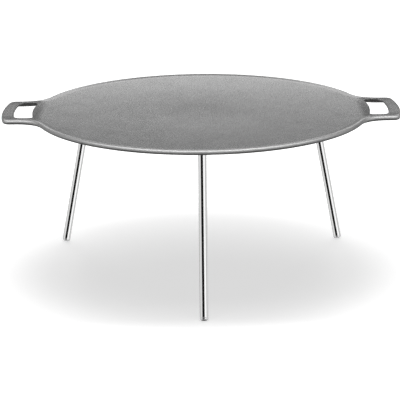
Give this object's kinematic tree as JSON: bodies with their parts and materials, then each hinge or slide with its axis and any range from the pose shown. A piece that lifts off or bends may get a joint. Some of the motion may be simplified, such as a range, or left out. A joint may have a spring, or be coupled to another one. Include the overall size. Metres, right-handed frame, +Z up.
{
  "type": "camp griddle plate",
  "caption": "Round dished cast griddle with a rounded rim and two cast loop handles, standing over a fire on splayed screw-in legs of polished tube.",
  "frame": {"origin": "on the ground, under the middle of the plate", "axes": "+X along the two handles, -Y towards the single front leg, +Z up"},
  "size_m": [0.596, 0.5079, 0.246],
  "materials": {
    "cast_iron": "seasoned, finely pebbled casting",
    "plated_steel": "zinc-plated",
    "polished_tube": "polished steel tube",
    "polished_plug": "polished, pressed-in closing plug"
  },
  "bodies": {
    "plate": {"griddle_plate": "cast_iron"},
    "washer_front": {"lock_washer_front": "plated_steel"},
    "leg_front": {"leg_tube_front": "polished_tube", "leg_stud_front": "plated_steel", "foot_plug_front": "polished_plug"},
    "washer_left": {"lock_washer_left": "plated_steel"},
    "leg_left": {"leg_tube_left": "polished_tube", "leg_stud_left": "plated_steel", "foot_plug_left": "polished_plug"},
    "washer_right": {"lock_washer_right": "plated_steel"},
    "leg_right": {"leg_tube_right": "polished_tube", "leg_stud_right": "plated_steel", "foot_plug_right": "polished_plug"}
  },
  "joints": [
    {"name": "front_leg_back_out", "type": "slide", "parent": "plate", "child": "washer_front", "axis": [0, -0.2164, -0.9763], "range_m": [0, 0.007]},
    {"name": "front_leg_turn", "type": "hinge", "parent": "washer_front", "child": "leg_front", "pos_m": [0, -0.20108, 0.23178], "axis": [0, -0.2164, -0.9763], "range_deg": [0, 2017]},
    {"name": "left_leg_back_out", "type": "slide", "parent": "plate", "child": "washer_left", "axis": [-0.1874, 0.1082, -0.9763], "range_m": [0, 0.007]},
    {"name": "left_leg_turn", "type": "hinge", "parent": "washer_left", "child": "leg_left", "pos_m": [-0.17414, 0.10054, 0.23178], "axis": [-0.1874, 0.1082, -0.9763], "range_deg": [0, 2017]},
    {"name": "right_leg_back_out", "type": "slide", "parent": "plate", "child": "washer_right", "axis": [0.1874, 0.1082, -0.9763], "range_m": [0, 0.007]},
    {"name": "right_leg_turn", "type": "hinge", "parent": "washer_right", "child": "leg_right", "pos_m": [0.17414, 0.10054, 0.23178], "axis": [0.1874, 0.1082, -0.9763], "range_deg": [0, 2017]}
  ],
  "couplings": [
    {"joint": "front_leg_turn", "follows": "front_leg_back_out", "rad_per_m": 5026.5},
    {"joint": "left_leg_turn", "follows": "left_leg_back_out", "rad_per_m": 5026.5},
    {"joint": "right_leg_turn", "follows": "right_leg_back_out", "rad_per_m": 5026.5}
  ]
}
